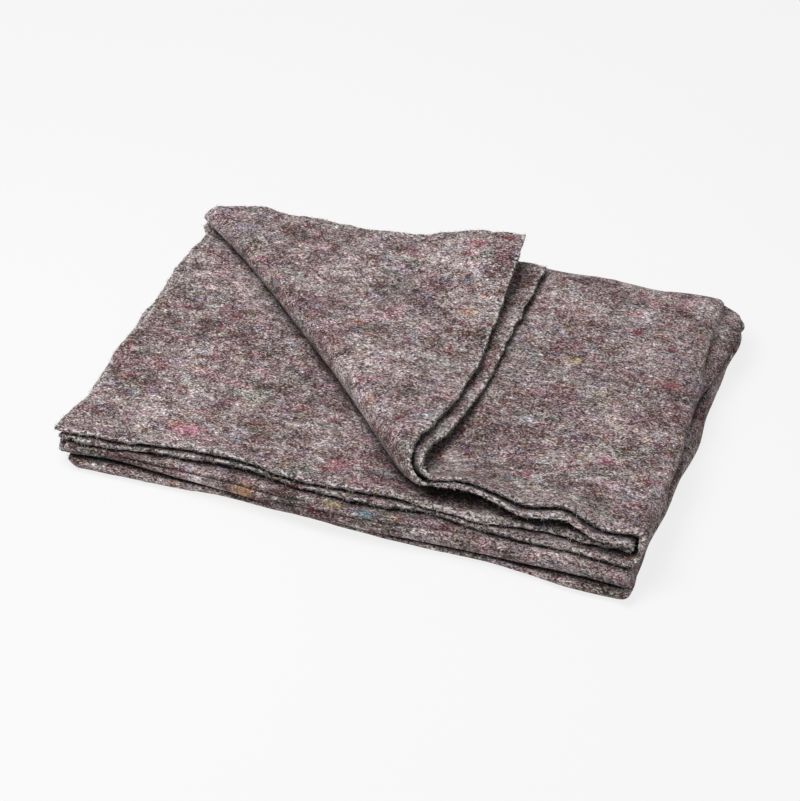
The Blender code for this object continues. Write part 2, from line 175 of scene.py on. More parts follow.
# Slow waves of each ply: length, turn, turn by height, size at the edges, size on the faces. Those
# on the faces lean along y and are crossed by others, and those of the back grow up to a limit.
WAVES = (
    (0.310, 0.6, 95.0, 0.0018, 0.0013),
    (0.173, 2.1, -150.0, 0.0016, 0.0008),
    (0.118, 4.0, 210.0, 0.0012, 0.0004),
)
WAVE_LEAN = 0.4
WAVE_CROSS = 0.7
WAVE_BACK_LIMIT = 1.2

# Two creases in the front bend of the middle plies: first place across the cloth, distances
# along the cloth from the fold's line in mm at evenly spaced places, depth. Then the spacing of
# the places, half the width of a crease, and how far its ends fade.
GROOVES = (
    (1.15, (-18.0, -11.0, -8.5, -6.5, -4.0, -2.0), 0.0042),
    (0.94, (-20.0, -16.0, -9.3, -6.3, -3.0, 1.0), 0.0034),
)
GROOVE_SPACING = 0.060
GROOVE_HALF = 0.0023
GROOVE_FADE = 0.040

# Soft lumps of the felt: size across, height. They differ from ply to ply, and come in over the
# lowest part of the stack.
LUMPS = ((0.070, 0.0011), (0.028, 0.0005), (0.011, 0.00022))
LUMPS_BY_HEIGHT = 3
LUMPS_FULL_AT = 1 / 3

# Uneven thickness of the felt: size across, share of the thickness
UNEVEN_FELT = ((0.020, 0.09), (0.0075, 0.10))
UNEVEN_SEED = 5

# The cut edge's section: how far in it is rounded, and the share of the thickness at its wall
EDGE_ROUND = 0.0032
EDGE_WALL = 0.55

# The cut edge's uneven line and its ups and downs: size across, size, how far in they fade, and
# the seeds and rows of their random heights
EDGE_RAGGED = ((0.060, 0.0012), (0.021, 0.0014), (0.010, 0.0012), (0.0055, 0.0008))
EDGE_RAGGED_FADE = 0.012
EDGE_RAGGED_SEEDS = (11, 31)
EDGE_RAGGED_ROWS = (0.3, 0.9)
EDGE_FRILL = ((0.026, 0.0010), (0.0095, 0.0008))
EDGE_FRILL_FADE = 0.010
EDGE_FRILL_SEED = 41

# Rows of the mesh beside the cut edges, and cuts of each of their pieces over a length
EDGE_ROWS = (0.0005, 0.0014, 0.0032, 0.0062)
EDGE_SPLITS = 2
EDGE_SPLIT_OVER = 0.005

# Steps of the mesh round each bend, how near to the roll's cuts its old corners are used, and
# the steps in a strip before the first bend for the creases
BEND_STEPS_FIRST = 18
BEND_STEPS_SECOND = 20
BEND_STEPS_THIRD = 20
ROLL_STEPS = 22
ROLL_SNAP = 0.0002
GROOVE_REACH = 0.014
GROOVE_STEPS = 14

# Side of the table of random heights, and the row and column where both places are zero
HILL_TABLE = 256
HILL_MIDDLE = 64

# The camera's offsets from the line through the point the folds were laid out from, and the
# width of its film in mm
CAMERA_ASIDE = -0.0121
CAMERA_ABOVE = 0.0044
FILM_WIDTH = 36

# Half the floor's side, how far below the blanket it lies, and the key light's place and side
FLOOR_HALF = 9
FLOOR_DROP = 0.0004
KEY_PLACE = (-0.7, -0.6, 2.3)
KEY_SIZE = 1.6

# Stray fibres: steps along each, ranges of its length, width, rise and curl as shares of the
# sizes set, its droop and taper, and the seed of their places
FIBRE_STEPS = 3
FIBRE_LENGTHS = (0.4, 1.5)
FIBRE_WIDTHS = (0.6, 1.5)
FIBRE_RISE = (0.05, 0.55)
FIBRE_CURL = (-0.8, 0.8)
FIBRE_DROOP = 0.45
FIBRE_TAPER = 0.6
FIBRE_SEED = 3
FIBRE_KINDS = (
    # name, share of all, colour
    ("white lint", 0.42, (0.74, 0.71, 0.69)),
    ("grey lint", 0.29, (0.24, 0.21, 0.21)),
    ("black lint", 0.19, (0.025, 0.022, 0.022)),
    ("crimson lint", 0.03, (0.36, 0.07, 0.12)),
    ("ochre lint", 0.03, (0.50, 0.38, 0.10)),
    ("blue lint", 0.025, (0.12, 0.24, 0.38)),
    ("orange lint", 0.015, (0.52, 0.22, 0.08)),
)

# Tones of the felt: width of a hill, stretch along X, turn about Z, size of the change of tone
TONES = (
    (0.0015, 1.7, 0.10, 0.36),
    (0.0014, 2.4, 1.20, 0.28),
    (0.0014, 2.4, 2.20, 0.28),
    (0.0024, 1.5, -0.20, 0.25),
    (0.0052, 1.5, 0.30, 0.19),
    (0.0110, 1.4, -0.30, 0.17),
    (0.0260, 1.4, 0.10, 0.145),
    (0.0800, 1.3, 0.40, 0.14),
)

# How strongly the tones add up, the power that spreads them, and the brightness in the middle,
# for which the body's and wisps' colours are given
TONE_GAIN = 2.70
TONE_POWER = 2.2
TONE_MIDDLE = 0.200

# How the strands wander: width of the turns, size of the moves
DRIFT_WIDTH = 0.010
DRIFT_MOVE = 0.0055

# Offsets that keep the layers of one pattern apart: of the first, and from each to the next
LAYER_OFFSETS = {
    "tones": ((0.0, 0.0, 0.0), (0.37, 0.19, 0.0)),
    "wisps": ((0.9, 0.0, 0.3), (1.7, 0.6, 0.0)),
    "bits": ((3.1, 2.9, 0.0), (0.7, 0.0, 0.8)),
}

# Painted shade in the nooks between plies: reach and number of the looks round each point, how far
# off the face they start, the closed-in shares where the painted shade starts and is full, its
# colour
NOOK_REACH = 0.045
NOOK_LOOKS = 16
NOOK_CLEARANCE = 0.0004
NOOK_STARTS = 0.03
NOOK_FULL = 0.72
NOOK_COLOUR = (0.004, 0.0035, 0.0035)

# Coloured wisps in the felt: colour, width, share of the surface, strength. Then their turns and
# scale, the levels of the noise where they start and are full, and how the share moves these.
WISPS = (
    ("crimson", (0.345, 0.148, 0.188), 0.0160, 0.38, 0.68),
    ("rose", (0.285, 0.176, 0.188), 0.0420, 0.50, 0.46),
    ("rust", (0.340, 0.172, 0.105), 0.0150, 0.31, 0.60),
    ("ochre", (0.240, 0.205, 0.085), 0.0130, 0.33, 0.42),
    ("moss", (0.192, 0.205, 0.168), 0.0300, 0.44, 0.50),
    ("blue", (0.170, 0.198, 0.285), 0.0150, 0.34, 0.40),
    ("violet", (0.238, 0.185, 0.250), 0.0220, 0.42, 0.40),
    ("teal", (0.140, 0.218, 0.232), 0.0120, 0.31, 0.44),
)
WISP_TURNS = (-0.25, 0.0, 0.25)
WISP_NARROW = (0.60, 1.0, 1.0)
WISP_LEVELS = (0.78, 1.02)
WISP_SPREAD = 0.6

# Rare bright bits: colour, width, share on the faces, share beside the cut edges. Then the first
# one's turn and the turn from each to the next, their scale, levels and strength.
BITS = (
    ("crimson", (0.360, 0.040, 0.090), 0.0044, 0.135, 0.200),
    ("yellow", (0.560, 0.470, 0.120), 0.0028, 0.075, 0.200),
    ("cyan", (0.170, 0.470, 0.520), 0.0030, 0.070, 0.160),
    ("orange", (0.540, 0.210, 0.070), 0.0034, 0.085, 0.180),
    ("navy", (0.025, 0.045, 0.160), 0.0050, 0.130, 0.190),
)
BIT_TURNS = (-0.8, 0.4)
BIT_NARROW = (0.45, 1.0, 1.0)
BIT_LEVELS = (0.88, 0.94)
BIT_STRENGTH = 0.75

# Fibres of the cut edges: width and scale, then for the dark and the pale ones the levels of the
# noise where they start and are full, and their strength
EDGE_FIBRE_WIDTH = 0.0023
EDGE_FIBRE_SCALE = (0.5, 0.5, 1.1)
EDGE_DARK_LEVELS, EDGE_DARK_STRENGTH = (0.40, 0.49), 0.85
EDGE_PALE_LEVELS, EDGE_PALE_STRENGTH = (0.51, 0.60), 0.80

# Single flecks all over: which colour, offset, turn, scale, width, levels, strength
FLECKS = (
    ("lint", (4.1, 1.3, 0.0), 0.4, (0.30, 1.0, 1.6), 0.0016, (0.70, 0.78), 0.7),
    ("dark", (2.3, 7.1, 0.0), 1.9, (0.45, 1.0, 1.6), 0.0020, (0.61, 0.73), 0.8),
)

# Coloured tufts worked into the felt: colour, place in mm, size in mm. Then their stretch along X,
# strength and levels, the strands that break their outline, and how the felt's tones shade them.
TUFTS = (
    ("amber", (0.500, 0.255, 0.085), (-117, -264, 28), 14.0),
    ("teal", (0.145, 0.350, 0.410), (38, -258, 35), 8.0),
    ("olive", (0.310, 0.300, 0.070), (-3, -253, 35), 9.0),
    ("gold", (0.430, 0.315, 0.130), (201, 81, 60), 10.0),
    ("rust", (0.400, 0.210, 0.125), (52, 102, 86), 9.0),
    ("crimson", (0.370, 0.110, 0.150), (-216, -198, 50), 17.0),
    ("crimson", (0.400, 0.120, 0.150), (-16, -198, 50), 11.0),
    ("crimson", (0.380, 0.110, 0.150), (26, 229, 103), 10.0),
    ("crimson", (0.370, 0.110, 0.160), (330, 63, 65), 12.0),
    ("crimson", (0.370, 0.110, 0.180), (293, -103, 64), 10.0),
    ("navy", (0.030, 0.045, 0.150), (247, -226, 53), 9.0),
)
TUFT_STRETCH = 1.7
TUFT_STRENGTH = 0.52
TUFT_LEVELS = (0.10, 0.60)
TUFT_RAGGED = 3.0
TUFT_STRAND_WIDTH = 0.0024
TUFT_STRAND_SCALE = (0.35, 1.0, 1.0)
TUFT_SHADE_GAIN = 3.0
TUFT_SHADE_LEAST = 0.4


class ClothSizes(bpy.types.PropertyGroup):
    """Sizes of the flat cloth and of its folds."""

    across: FloatProperty(name="Across", description="Width of the flat cloth",
                          default=1.50, unit="LENGTH")
    along: FloatProperty(name="Along", description="Length of the flat cloth",
                         default=2.00, unit="LENGTH")
    felt: FloatProperty(name="Felt", description="Thickness of the felt",
                        default=0.0055, precision=4, unit="LENGTH")
    second_line: FloatProperty(name="Second fold", description="Where the second fold crosses",
                               default=0.758, precision=4, unit="LENGTH")
    air_first: FloatProperty(name="Air, first", description="Air inside the first fold",
                             default=0.0050, precision=4, unit="LENGTH")
    air_second: FloatProperty(name="Air, second", description="Air inside the second fold",
                              default=0.0025, precision=4, unit="LENGTH")
    air_third: FloatProperty(name="Air, third", description="Air inside the third fold",
                             default=0.0035, precision=4, unit="LENGTH")
    cell: FloatProperty(name="Cell", description="Spacing of the mesh on flat stretches",
                        default=0.0120, precision=4, unit="LENGTH")
    seed: IntProperty(name="Seed", description="Seed of the soft lumps", default=7)


class FeltLooks(bpy.types.PropertyGroup):
    """Colours and fibres of the felt, and the strength of the shade painted into its nooks."""

    body: FloatVectorProperty(name="Body", description="Colour of the mixed fibres",
                              default=(0.242, 0.189, 0.185), subtype="COLOR", size=3)
    tone: FloatProperty(name="Tone", description="The felt's middle place on the scale of tones",
                        default=0.445)
    dark: FloatVectorProperty(name="Dark fibres", description="Colour of the darkest fibres",
                              default=(0.030, 0.024, 0.026), subtype="COLOR", size=3)
    lint: FloatVectorProperty(name="Lint", description="Colour of the pale flecks",
                              default=(0.760, 0.725, 0.705), subtype="COLOR", size=3)
    rich: FloatProperty(name="Rich", description="How much pale fibres carry the most colour",
                        default=0.22, subtype="FACTOR")
    # Strength of the shade painted near black into the nooks between plies and the bottoms of the
    # creases
    nook_shade: FloatProperty(name="Nook_shade", description="Strength of the dark painted_shade between plies",
                        default=0.90, subtype="FACTOR")
    stray: IntProperty(name="Stray fibres", description="Fibres that stand on the faces",
                       default=14000)
    frayed: IntProperty(name="Frayed fibres", description="Fibres that stand on the cut edges",
                        default=16000)
    fuzz: FloatProperty(name="Fuzz", description="Length of the stray fibres",
                        default=0.0036, precision=4, unit="LENGTH")
    thread: FloatProperty(name="Thread", description="Width of the stray fibres",
                          default=0.00034, precision=5, unit="LENGTH")


class StageSettings(bpy.types.PropertyGroup):
    """Floor, light and camera."""

    floor: FloatVectorProperty(name="Floor", description="Colour of the floor",
                               default=(0.12, 0.12, 0.12), subtype="COLOR", size=3)
    glow: FloatProperty(name="Floor light", description="Strength of the floor's own light",
                        default=0.806)
    sky: FloatProperty(name="Fill light", description="Strength of the even fill light",
                       default=0.30)
    key: FloatProperty(name="Key light", description="Power of the large soft light in watts",
                       default=62.0)
    turn: FloatProperty(name="Turn", description="Camera's turn to the right of the front",
                        default=math.radians(18.947), subtype="ANGLE", unit="ROTATION")
    tilt: FloatProperty(name="Tilt", description="Camera's angle above the floor",
                        default=math.radians(38.915), subtype="ANGLE", unit="ROTATION")
    distance: FloatProperty(name="Distance", description="Camera's distance from the blanket",
                            default=2.9457, unit="LENGTH")
    lens: FloatProperty(name="Lens", description="Focal length in millimetres on 36 mm film",
                        default=102.89)


# ---------------------------------------------------------------------------------------------
# Folding
# ---------------------------------------------------------------------------------------------

def ramp(value, start, end):
    """0 before start, 1 after end, and a smooth step between."""
    part = np.clip((value - start) / (end - start), 0.0, 1.0)
    return part * part * (3 - 2 * part)


def curve_through(places, values, at):
    """Smooth curve through values at evenly spaced places."""
    gap = places[1] - places[0]
    spot = np.clip((at - places[0]) / gap, 0.0, len(places) - 1.0)
    left = np.minimum(spot.astype(int), len(places) - 2)
    part = spot - left
    values = np.asarray(values)
    slope = np.gradient(values)
    start, end = values[left], values[left + 1]
    return (start + ramp(part, 0.0, 1.0) * (end - start)
            + part * (1 - part) * ((1 - part) * slope[left] - part * slope[left + 1]))


def hills(x, y, size, seed):
    """Smooth random heights from -1 to 1, with hills about size apart."""
    table = np.random.default_rng(seed).uniform(-1, 1, (HILL_TABLE, HILL_TABLE))
    column, row = x / size + HILL_MIDDLE, y / size + HILL_MIDDLE
    left, low = np.floor(column).astype(int), np.floor(row).astype(int)
    across = ramp(column - left, 0.0, 1.0)
    up = ramp(row - low, 0.0, 1.0)
    bottom, top = (
        table[(low + step) % HILL_TABLE, left % HILL_TABLE] * (1 - across)
        + table[(low + step) % HILL_TABLE, (left + 1) % HILL_TABLE] * across for step in (0, 1))
    return bottom * (1 - up) + top * up


def layered_hills(x, y, layers, seed):
    """Sum of random heights: layers holds the size across and the height of each."""
    return sum(size * hills(x, y, spread, seed + at) for at, (spread, size) in enumerate(layers))


def bend(along, height, middle, centre, axis_height, slip):
    """Fold a stack over itself about an axis above it.

    along runs through the stack, height is the point's and middle its ply's. The result is the
    distance past the axis, the new height and middle, and the angle turned.
    """
    neutral = axis_height / 2
    ply_radius = axis_height - middle
    length = math.pi * (neutral + slip * (ply_radius - neutral))
    past = along - (centre - length / 2)
    angle = np.clip(past / length, 0.0, 1.0) * math.pi
    straight = np.minimum(past, 0.0) - np.maximum(past - length, 0.0)
    radius = axis_height - height
    return (straight + radius * np.sin(angle), axis_height - radius * np.cos(angle),
            axis_height - ply_radius * np.cos(angle), angle)


def bend_span(centre, axis_height, middle, slip):
    """The stretch of a ply that a fold bends."""
    neutral = axis_height / 2
    length = math.pi * (neutral + slip * (axis_height - middle - neutral))
    return centre - length / 2, centre + length / 2


class Roll:
    """The cone that the turned corner is rolled over."""

    def __init__(self, pitch, felt, third_axis):
        start, end = np.array(CREASE_BACK), np.array(CREASE_FRONT)
        run = np.linalg.norm(end - start)
        self.along = (end - start) / run
        self.side = np.array((self.along[1], -self.along[0]))
        self.sine = (ROLL_FRONT - ROLL_BACK) / run
        self.cosine = math.sqrt(1 - self.sine ** 2)
        self.apex = start - self.along * ROLL_BACK / self.sine
        self.height = 2 * third_axis - pitch / 2 + felt / 2
        self.rest = self.height + pitch + felt + FLAP_CLEARANCE

    def polar(self, x, y):
        """Distance from the apex and angle past the crease, towards the turned side."""
        ahead = (x - self.apex[0]) * self.along[0] + (y - self.apex[1]) * self.along[1]
        aside = (x - self.apex[0]) * self.side[0] + (y - self.apex[1]) * self.side[1]
        return np.hypot(ahead, aside), np.arctan2(aside, ahead)

    def half_turn(self, distance, middle):
        """The angle of the sheet that half a turn of the roll takes up, for one ply."""
        return math.pi * (self.sine + (self.height - middle) * self.cosine / distance)

    def carry(self, x, y, z, middle):
        """Roll points of the two top plies, and let the flap settle on the stack."""
        distance, aside = self.polar(x, y)
        half = self.half_turn(distance, middle)
        turned = np.clip(aside / half, 0.0, 1.0) * math.pi
        beyond = np.maximum(aside - half, 0.0)
        ahead = np.array((*self.along, 0.0))
        across = np.array((*self.side, 0.0))
        up = np.array((0.0, 0.0, 1.0))
        axis = self.cosine * ahead + self.sine * up
        square = self.cosine * up - self.sine * ahead
        outward = np.sin(turned)[:, None] * across - np.cos(turned)[:, None] * square
        ray = self.cosine * axis + self.sine * outward
        inward = self.sine * axis - self.cosine * outward
        ray = np.cos(beyond)[:, None] * ray - np.sin(beyond)[:, None] * across
        apex = np.array((*self.apex, self.height))
        point = apex + distance[:, None] * ray + (z - self.height)[:, None] * inward
        reach = distance * np.sin(beyond)
        spare = 2 * self.sine * self.cosine * distance * np.cos(beyond) + self.height - self.rest
        point[:, 2] -= spare * ramp(reach, 0.0, FLAP_SETTLES) * (beyond > 0)
        moved = aside > 0
        return (np.where(moved, point[:, 0], x), np.where(moved, point[:, 1], y),
                np.where(moved, point[:, 2], z), ramp(reach, 0.0, FLAP_SHIFTS_OVER) * moved)


class FoldedCloth:
    """The way from a place on the flat cloth to its place in the folded blanket."""

    def __init__(self, sizes):
        self.across, self.along, self.felt = sizes.across, sizes.along, sizes.felt
        self.second_line, self.cell, self.seed = sizes.second_line, sizes.cell, sizes.seed
        self.pitch = sizes.felt + sizes.air_first
        self.first_axis = self.pitch / 2
        self.second_axis = self.pitch + (sizes.felt + sizes.air_second) / 2
        self.third_axis = 2 * self.second_axis + (sizes.felt + sizes.air_third) / 2
        self.stack = 2 * self.third_axis + sizes.felt
        pack = (0.0, self.pitch, 2 * self.second_axis - self.pitch, 2 * self.second_axis)
        self.levels = pack + tuple(2 * self.third_axis - level for level in reversed(pack))
        self.roll = Roll(self.pitch, self.felt, self.third_axis)

    # The uneven stack

    def open_gaps(self, x, y, level):
        """Height added by the changes of the air between plies."""
        front = np.exp(-np.maximum(y - PLAN_FRONT, 0.0) / AIR_FRONT_REACH)
        added = np.zeros_like(level)
        for gap, (inner, at_front) in enumerate(AIR_CHANGES):
            along_front = curve_through(AIR_PLACES, at_front, x)
            change = MILLIMETRE * (inner * (1 - front) + front * along_front)
            if gap == HUMP_GAP:
                change = change + self.humps(x, y)[0]
            bottom = self.levels[gap] + self.felt
            added += change * np.clip((level - bottom) / (self.levels[gap + 1] - bottom), 0, 1)
        return added

    @staticmethod
    def humps(x, y):
        """Lift of the two top plies off the third, and how far it draws their edges back."""
        lift = np.zeros_like(x)
        draw = np.zeros_like(x)
        for place, width, height, back, reach in HUMPS:
            shape = np.exp(-((x - place) / width) ** 2
                           - (np.maximum(y - PLAN_FRONT, 0.0) / reach) ** 2)
            lift += height * shape
            draw += back * shape
        return lift, draw

    def edge_moves(self, places, moves, at, level):
        """Moves of one side of the stack, at places along it and at a height in it."""
        tops = [low + self.felt for low in self.levels]
        single = sum(zip(self.levels[4:], tops[4:]), ())
        heights = (self.levels[0], tops[1], self.levels[2], tops[3], *single)
        lines = np.stack([curve_through(places, row, at) for row in moves.values()
                          for _ in (0, 1)])
        above = np.clip(np.searchsorted(heights, level) - 1, 0, len(heights) - 2)
        low, high = np.take(heights, above), np.take(heights, above + 1)
        part = np.clip((level - low) / (high - low), 0.0, 1.0)
        column = np.arange(len(at))
        return MILLIMETRE * (lines[above, column] * (1 - part) + lines[above + 1, column] * part)

    def slips(self, x, y, level):
        """Sideways moves of the plies, along x and along y."""
        right = np.clip((x - PLAN_LEFT) / (PLAN_RIGHT - PLAN_LEFT), 0.0, 1.0)
        back = np.clip((y - PLAN_FRONT) / (PLAN_BACK - PLAN_FRONT), 0.0, 1.0)
        return (self.edge_moves(SIDE_PLACES, LEFT_MOVES, y, level) * (1 - right)
                + self.edge_moves(SIDE_PLACES, RIGHT_MOVES, y, level) * right,
                self.edge_moves(FRONT_PLACES, FRONT_MOVES, x, level) * (1 - back) ** 2
                + self.edge_moves(BACK_PLACES, BACK_MOVES, x, level) * back)

    def grooves(self, across, along):
        """How deep the front bend of the middle plies is creased."""
        depth = np.zeros_like(across)
        for first, distances, size in GROOVES:
            places = first + GROOVE_SPACING * np.arange(len(distances))
            line = self.along / 2 + MILLIMETRE * curve_through(places, distances, across)
            run = (ramp(across, places[0], places[0] + GROOVE_FADE)
                   * (1 - ramp(across, places[-1] - GROOVE_FADE, places[-1])))
            depth += size * run * np.exp(-((along - line) / GROOVE_HALF) ** 2)
        return depth

    def waves(self, x, y, level):
        """Slow waves: along x, along y and up."""
        move = [np.zeros_like(x) for _ in range(3)]
        side = np.abs(x) / PLAN_RIGHT
        back = np.clip(y / PLAN_BACK, 0.0, WAVE_BACK_LIMIT)
        for length, turn, by_height, edge_size, face_size in WAVES:
            pace = 2 * math.pi / length
            move[0] += edge_size * side ** 2 * np.sin(pace * y + turn + by_height * level)
            move[1] += edge_size * back ** 2 * np.sin(pace * x + 2 * turn + by_height * level)
            move[2] += (face_size * np.sin(pace * (x + WAVE_LEAN * y) + turn)
                        * np.cos(pace * y * WAVE_CROSS - turn))
        return move[0], move[1], move[2] * np.clip(level / self.stack, 0.0, 1.0)

    @staticmethod
    def bow_moves(x, y):
        """Moves of the two top plies beside the turned corner's crease, along x and along y."""
        run_x, run_y = (end - start for start, end in zip(CREASE_BACK, CREASE_FRONT))
        length = math.hypot(run_x, run_y)
        run_x, run_y = run_x / length, run_y / length
        off_x, off_y = x - CREASE_BACK[0], y - CREASE_BACK[1]
        size = curve_through(BOW_PLACES, BOW_MOVES, off_x * run_x + off_y * run_y)
        aside = (off_y * run_x - off_x * run_y) / BOW_REACH
        size = MILLIMETRE * size * np.exp(-aside ** 2) * ramp(BACK_AXIS - y, 0.0, BOW_FADE)
        return -size * run_y, size * run_x

    @staticmethod
    def flap_moves(x, y, upper, share):
        """Moves of the turned corner's plies: along x, along y and up."""
        move = []
        for places, moves, at in ((FLAP_RIGHT_PLACES, FLAP_RIGHT_MOVES, y),
                                  (FLAP_BACK_PLACES, FLAP_BACK_MOVES, x)):
            under_move, upper_move = (curve_through(places, moves[ply], at)
                                      for ply in ("under", "upper"))
            move.append(share * MILLIMETRE * np.where(upper, upper_move, under_move))
        corner = np.hypot(x - FLAP_CORNER[0], y - FLAP_CORNER[1]) / FLAP_CORNER_REACH
        lift = np.where(upper, FLAP_CORNER_LIFT["upper"], FLAP_CORNER_LIFT["under"])
        return (*move, share * lift * np.exp(-corner ** 2))

    def edge_draw(self, across, along):
        """How far the cloth's left edge is drawn in."""
        cut = sum(np.exp(-((along - line) / EDGE_DRAW_REACH) ** 2)
                  for line in (self.along / 4, 3 * self.along / 4))
        return EDGE_DRAW * cut * np.clip(1 - across / EDGE_DRAW_FADE, 0.0, 1.0)

    def inside(self, across, along):
        """How far in from the nearest cut edge places on the cloth are."""
        return np.minimum.reduce((across, self.across - across, along, self.along - along))

    def ragged(self, across, along):
        """The uneven cut: small moves of the cloth beside its edges."""
        moved = []
        for place, other, length, seed in zip((across, along), (along, across),
                                              (self.across, self.along), EDGE_RAGGED_SEEDS):
            near, far = (layered_hills(other, np.full_like(other, row), EDGE_RAGGED, seed)
                         for row in EDGE_RAGGED_ROWS)
            moved.append(place + near * np.exp(-place / EDGE_RAGGED_FADE)
                         + far * np.exp(-(length - place) / EDGE_RAGGED_FADE))
        return moved

    def frill(self, across, along):
        """Small ups and downs of the cloth beside its cut edges."""
        height = layered_hills(across, along, EDGE_FRILL, EDGE_FRILL_SEED)
        return height * np.exp(-np.maximum(self.inside(across, along), 0.0) / EDGE_FRILL_FADE)

    def half_felt(self, across, along):
        """Half the felt's thickness, less beside the cut edges."""
        part = 1 - np.clip(self.inside(across, along) / EDGE_ROUND, 0.0, 1.0)
        rounding = EDGE_WALL + (1 - EDGE_WALL) * np.sqrt(1 - part ** 2)
        uneven = sum(size * hills(across, along, spread, UNEVEN_SEED)
                     for spread, size in UNEVEN_FELT)
        return self.felt / 2 * rounding * (1 + uneven)

    def fold(self, across, along, side):
        """Carry points of one face, side -1 or 1, of the flat cloth to the folded blanket."""
        offset = side * self.half_felt(across, along) + self.grooves(across, along)
        across, along = self.ragged(across, along)
        across = across + self.edge_draw(across, along)
        first, height, middle, _ = bend(along, offset, np.zeros_like(across), self.along / 2,
                                        self.first_axis, 1.0)
        second, height, middle, turned_over = bend(
            across, height, middle, self.second_line, self.second_axis, SLIP_SECOND)
        third, height, middle, on_top = bend(
            -first, height, middle, self.along / 4, self.third_axis, SLIP_THIRD)
        x = RIGHT_AXIS + second
        y = BACK_AXIS + third
        z = height + self.felt / 2
        top_plies = (turned_over < math.pi / 2) & (on_top > math.pi / 2)
        *rolled, share = self.roll.carry(x, y, z, middle + self.felt / 2)
        x, y, z = (np.where(top_plies, new, old) for new, old in zip(rolled, (x, y, z)))
        moves = self.flap_moves(x, y, along > self.along / 2, share * top_plies)
        bow_x, bow_y = (move * top_plies for move in self.bow_moves(x, y))
        slip_x, slip_y = self.slips(x, y, z)
        wave_x, wave_y, wave_z = self.waves(x, y, z)
        opened = self.open_gaps(x, y, z)
        draw = self.humps(x, y)[1] * np.clip((z - self.levels[HUMP_GAP]) / self.pitch, 0.0, 1.0)
        raised = layered_hills(x + LUMPS_BY_HEIGHT * z, y, LUMPS, self.seed)
        raised = ((raised + self.frill(across, along))
                  * ramp(z, 0.0, self.stack * LUMPS_FULL_AT))
        return np.stack((x + slip_x + wave_x + bow_x + moves[0] - MIDDLE[0],
                         y + slip_y + wave_y + bow_y + draw + moves[1] - MIDDLE[1],
                         z + opened + wave_z + raised + moves[2]), 1)

    # The mesh

    def cut_lines(self, length, bends):
        """Places of the straight cuts through the flat cloth in one direction.

        bends holds the start, end and number of steps of each stretch that a fold bends.
        """
        lines = [*EDGE_ROWS, *(length - row for row in EDGE_ROWS)]
        place = 0.0
        for start, end, count in (*bends, (length, length, 0)):
            lines.extend(np.linspace(place, start, max(2, round((start - place) / self.cell) + 1)))
            lines.extend(np.linspace(start, end, count + 1))
            place = end
        lines = sorted(set(round(float(line), 6) for line in lines))
        close = min(EDGE_ROWS) / 2
        return [line for at, line in enumerate(lines)
                if at == 0 or line - lines[at - 1] > close or line == lines[-1]]

    def grid_lines(self):
        """Cuts across and along the flat cloth."""
        second = bend_span(self.second_line, self.second_axis, 0.0, SLIP_SECOND)
        first = bend_span(self.along / 2, self.first_axis, 0.0, 1.0)
        third = bend_span(self.along / 4, self.third_axis, self.pitch / 2, SLIP_THIRD)
        rise = math.pi * self.first_axis / 2
        near, far = third[0] + rise, third[1] + rise
        half = self.along / 2
        return (self.cut_lines(self.across, [(*second, BEND_STEPS_SECOND)]),
                self.cut_lines(self.along, [(half - far, half - near, BEND_STEPS_THIRD),
                                            (first[0] - GROOVE_REACH, first[0], GROOVE_STEPS),
                                            (*first, BEND_STEPS_FIRST),
                                            (half + near, half + far, BEND_STEPS_THIRD)]))

    def flat_mesh(self):
        """The flat cloth's middle surface, cut where the folds and the turned corner bend it."""
        across, along = self.grid_lines()
        mesh = bmesh.new()
        rows = [[mesh.verts.new((u, v, 0.0)) for u in across] for v in along]
        for low, high in zip(rows, rows[1:]):
            for at in range(len(across) - 1):
                mesh.faces.new((low[at], low[at + 1], high[at + 1], high[at]))
        for ply in ("under", "upper"):
            for step in range(ROLL_STEPS + 1):
                self.cut_roll_line(mesh, ply, step / ROLL_STEPS)
        strip = [edge for edge in mesh.edges if self.runs_beside_cut(edge)]
        bmesh.ops.subdivide_edges(mesh, edges=strip, cuts=EDGE_SPLITS)
        bmesh.ops.triangulate(mesh, faces=mesh.faces[:])
        return mesh

    def runs_beside_cut(self, edge):
        """Whether a long edge of the mesh runs in the strip beside one of the cloth's edges."""
        start, end = (vert.co for vert in edge.verts)
        for at, length in ((0, self.across), (1, self.along)):
            inside = [min(place[at], length - place[at]) for place in (start, end)]
            run = abs(start[1 - at] - end[1 - at])
            if max(inside) < EDGE_ROWS[-1] * 1.01 and run > EDGE_SPLIT_OVER:
                return True
        return False

    def cut_roll_line(self, mesh, ply, part):
        """Cut one of the two top plies along a line that the roll bends it about."""
        middle = 2 * self.third_axis + self.felt / 2 - (0.0 if ply == "under" else self.pitch)
        ends = []
        for place in (CREASE_BACK, CREASE_FRONT):
            distance, _ = self.roll.polar(*place)
            aside = part * self.roll.half_turn(distance, middle)
            spot = (self.roll.apex + distance * (math.cos(aside) * self.roll.along
                                                 + math.sin(aside) * self.roll.side))
            ends.append(self.plan_to_cloth(spot, ply))
        run = np.array((*(ends[1] - ends[0]), 0.0))
        normal = np.cross(run, (0.0, 0.0, 1.0))
        normal /= np.linalg.norm(normal)
        start = np.array((*ends[0], 0.0))
        inside = [face for face in mesh.faces
                  if self.in_top_ply(face, ply)
                  and abs((np.array(face.verts[0].co) - start) @ normal) < 2 * self.cell]
        parts = set(inside)
        for face in inside:
            parts.update(face.edges)
            parts.update(face.verts)
        bmesh.ops.bisect_plane(mesh, geom=list(parts), dist=ROLL_SNAP, plane_co=start,
                               plane_no=normal)

    def in_top_ply(self, face, ply):
        """Whether a face lies in the flat stretch of one of the two top plies."""
        spot = face.verts[0].co
        stretch = spot.y if ply == "under" else self.along - spot.y
        return spot.x < self.across / 2 - self.cell and stretch < self.along / 4

